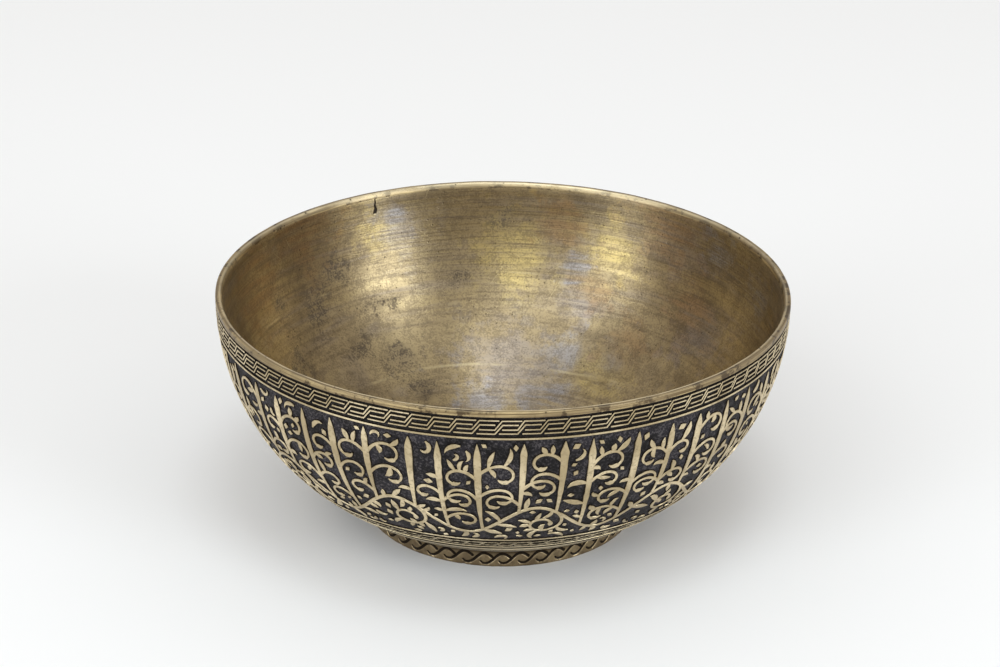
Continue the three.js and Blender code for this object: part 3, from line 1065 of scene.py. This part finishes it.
def scroll_cut(phi, up, rng):
    """How deep the running scroll is cut at each place of the foot's face, 0 to 1.

    The distance to the curve, less its half width, runs through a smooth step over the groove's wall.
    """
    curve = smooth_curve(SCROLL_PATH, 90)
    pitch = TURN / SCROLL_REPEATS
    t = np.linspace(0, 1, len(curve))
    half = (0.24 + 0.16 * np.sin(math.pi / 2 * np.clip(t * 1.6, 0, 1))) * MM
    half = np.where(t > 0.93, 0.44 * MM, half)
    cut = np.zeros(up.shape)
    for k in range(SCROLL_REPEATS):
        x = (k + curve[:, 0] + rng.normal(0, 0.03)) * pitch
        z = (curve[:, 1] + rng.normal(0, 0.08)) * MM
        gap = np.angle(np.exp(1j * (phi - x.mean())))
        close = np.abs(gap) < pitch * 1.3
        across = np.angle(np.exp(1j * (phi[close, None] - x))) * FOOT
        distance = np.hypot(across, up[:, close, None] - z) - half
        depth = np.clip(0.5 - distance.min(axis=2) / (0.22 * MM), 0, 1)
        cut[:, close] = np.maximum(cut[:, close], depth * depth * (3 - 2 * depth))
    return cut


def foot_ring():
    """Closed hoop: bottom face, cut outer face and plain inner face, as rows by the angle round the axis."""
    low = [
        [FOOT_INNER + 0.3 * MM, 0],
        [FOOT - 0.75 * MM, 0],
        [FOOT - 0.32 * MM, 0.02 * MM],
        [FOOT - 0.1 * MM, 0.12 * MM],
    ]
    face_up = np.r_[0.28, 0.55, 0.85, np.linspace(1.05, 4.62, 30), 4.85] * MM
    face = np.stack([np.full(len(face_up), FOOT), face_up], axis=1)
    high = [
        [FOOT, under_wall(FOOT, SEAM_GAP)],
        [FOOT_INNER, under_wall(FOOT_INNER, SEAM_GAP)],
        [FOOT_INNER, 0.3 * MM],
    ]
    phi, reach, up = spun(np.concatenate([low, face, high]), FOOT_COLS)
    on_face = slice(len(low), len(low) + len(face))
    cut = np.zeros(reach.shape)
    cut[on_face] = scroll_cut(phi, up[on_face], np.random.default_rng(41))
    reach[on_face] -= cut[on_face] * SCROLL_DEPTH + 0.03 * MM * (1 + wander(phi, 42, (5, 8, 13, 21, 34)))
    reach[2:5] -= 0.10 * MM * np.clip(wander(phi, 43, (11, 19, 31, 47, 71)), 0, 1)
    reach[1:6] -= NICK_DEPTH * np.exp(-(((phi - NICK_AT) / NICK_HALF) ** 2))
    points = around_axis(phi, reach, up)
    faces = grid_faces(len(reach), FOOT_COLS, wrap_rows=True)
    made = make_piece("foot_hoop", points, faces, [FOOT_LOOK], sharp=50, values={"cut": cut})
    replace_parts(made, "foot_ring")


def solder_line():
    """Seam between foot and bowl: a thin ring with a small hollow fillet, its face wavering a little."""
    corners = (
        (FOOT_INNER, SEAM_GAP),
        (FOOT, SEAM_GAP),
        (FOOT + 0.15 * MM, 0.16 * MM),
        (FOOT + 0.38 * MM, 0.05 * MM),
        (FOOT + SEAM_LEG, 0),
        (FOOT_INNER - SEAM_LEG, 0),
        (FOOT_INNER - 0.3 * MM, 0.12 * MM),
    )
    profile = np.array([[reach, under_wall(reach, lift)] for reach, lift in corners])
    phi, reach, up = spun(profile, SEAM_COLS)
    reach[2:4] += 0.06 * MM * wander(phi, 51, (7, 13, 23, 37, 53))
    faces = grid_faces(len(profile), SEAM_COLS, wrap_rows=True)
    made = make_piece("solder_line", around_axis(phi, reach, up), faces, [SEAM_LOOK], sharp=60)
    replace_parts(made, "solder_seam")


bowl_shell()
black_ring("upper_border_ground", "upper_border_fill", UPPER, BORDER_BLACK, 8, 1400, 0.02 * MM, 21)
black_ring("main_band_ground", "main_band_fill", BAND, BLACK, 60, 1400, 0.04 * MM, 22)
black_ring("lower_border_ground", "lower_border_fill", LOWER, BORDER_BLACK, 8, 1200, 0.02 * MM, 23)
key_border("upper_key_border", UPPER, UPPER_STRIPS, UPPER_ROWS, 0.19 * MM, 0.07, 31)
key_border("lower_key_border", LOWER, LOWER_STRIPS, LOWER_ROWS, 0.36 * MM, 0.15, 32)
band_scroll()
foot_ring()
solder_line()

# Camera, at the place and angle of the photograph

CAMERA_AT = Vector((-0.72 * MM, -710.0 * MM, 378.4 * MM))
CAMERA_DOWN = math.radians(24.6)
CAMERA_ROLL = math.radians(0.74)
LENS_MM = 100.0
SENSOR_MM = 36.0


def make_camera():
    """The camera's three axes: ahead and up tilted down, then right and up turned by the roll."""
    data = bpy.data.cameras.new("camera")
    data.lens = LENS_MM
    data.sensor_width = SENSOR_MM
    camera = bpy.data.objects.new("camera", data)
    bpy.context.scene.collection.objects.link(camera)
    ahead = Vector((0, math.cos(CAMERA_DOWN), -math.sin(CAMERA_DOWN)))
    level_up = Vector((0, math.sin(CAMERA_DOWN), math.cos(CAMERA_DOWN)))
    across = Vector((1, 0, 0))
    right = math.cos(CAMERA_ROLL) * across + math.sin(CAMERA_ROLL) * level_up
    up = -math.sin(CAMERA_ROLL) * across + math.cos(CAMERA_ROLL) * level_up
    turn = Matrix((right, up, -ahead)).transposed()
    camera.matrix_world = Matrix.Translation(CAMERA_AT) @ turn.to_4x4()
    bpy.context.scene.camera = camera


# Lamps: degrees clockwise from +Y, degrees up, distance in metres, width and height, and power in watts

LAMPS = {
    "overhead": (165, 75, 2.2, (0.7, 0.7), 6.8),
    "left_window": (-127, 12, 1.8, (0.7, 0.6), 9.4),
    "right_window": (126, 16, 2.0, (0.8, 0.9), 17.5),
    "front_fill": (-155, 38, 2.2, (1.8, 1.2), 14),
}
LAMP_COLOUR = (0.88, 0.95, 1.0)
BOWL_MIDDLE = Vector((0, 0, 40 * MM))


def soft_box(name, turn, rise, away, size, power):
    """A rectangular lamp that faces the bowl's middle."""
    side, up = math.radians(turn), math.radians(rise)
    out = Vector((math.sin(side) * math.cos(up), math.cos(side) * math.cos(up), math.sin(up)))
    data = bpy.data.lights.new(name, "AREA")
    data.shape = "RECTANGLE"
    data.size, data.size_y = size
    data.energy = power
    data.color = LAMP_COLOUR
    lamp = bpy.data.objects.new(name, data)
    lamp.location = BOWL_MIDDLE + away * out
    lamp.rotation_euler = (-out).to_track_quat("-Z", "Y").to_euler()
    bpy.context.scene.collection.objects.link(lamp)


# Table and room

TABLE_HALF = 4.0
TABLE_PAPER = (0.90, 0.90, 0.90, 1)
ROOM_COLOUR = (1.0, 0.97, 0.935, 1)
ROOM_STRENGTH = 0.69


def make_stage():
    """A pale table in an even grey room."""
    mesh = bpy.data.meshes.new("table")
    corners = [(x * TABLE_HALF, y * TABLE_HALF, 0) for x, y in ((-1, -1), (1, -1), (1, 1), (-1, 1))]
    mesh.from_pydata(corners, [], [(0, 1, 2, 3)])
    table = bpy.data.objects.new("table", mesh)
    bpy.context.scene.collection.objects.link(table)
    look, n, shader = new_look("table_paper")
    n.feed(shader, {"Base Color": TABLE_PAPER, "Roughness": 0.9})
    mesh.materials.append(look)
    world = bpy.data.worlds.new("room")
    bpy.context.scene.world = world
    world.use_nodes = True
    back = world.node_tree.nodes["Background"]
    back.inputs["Color"].default_value = ROOM_COLOUR
    back.inputs["Strength"].default_value = ROOM_STRENGTH


make_camera()
make_stage()
for name, lamp in LAMPS.items():
    soft_box(name, *lamp)

view = bpy.context.scene.view_settings
view.view_transform = "Standard"
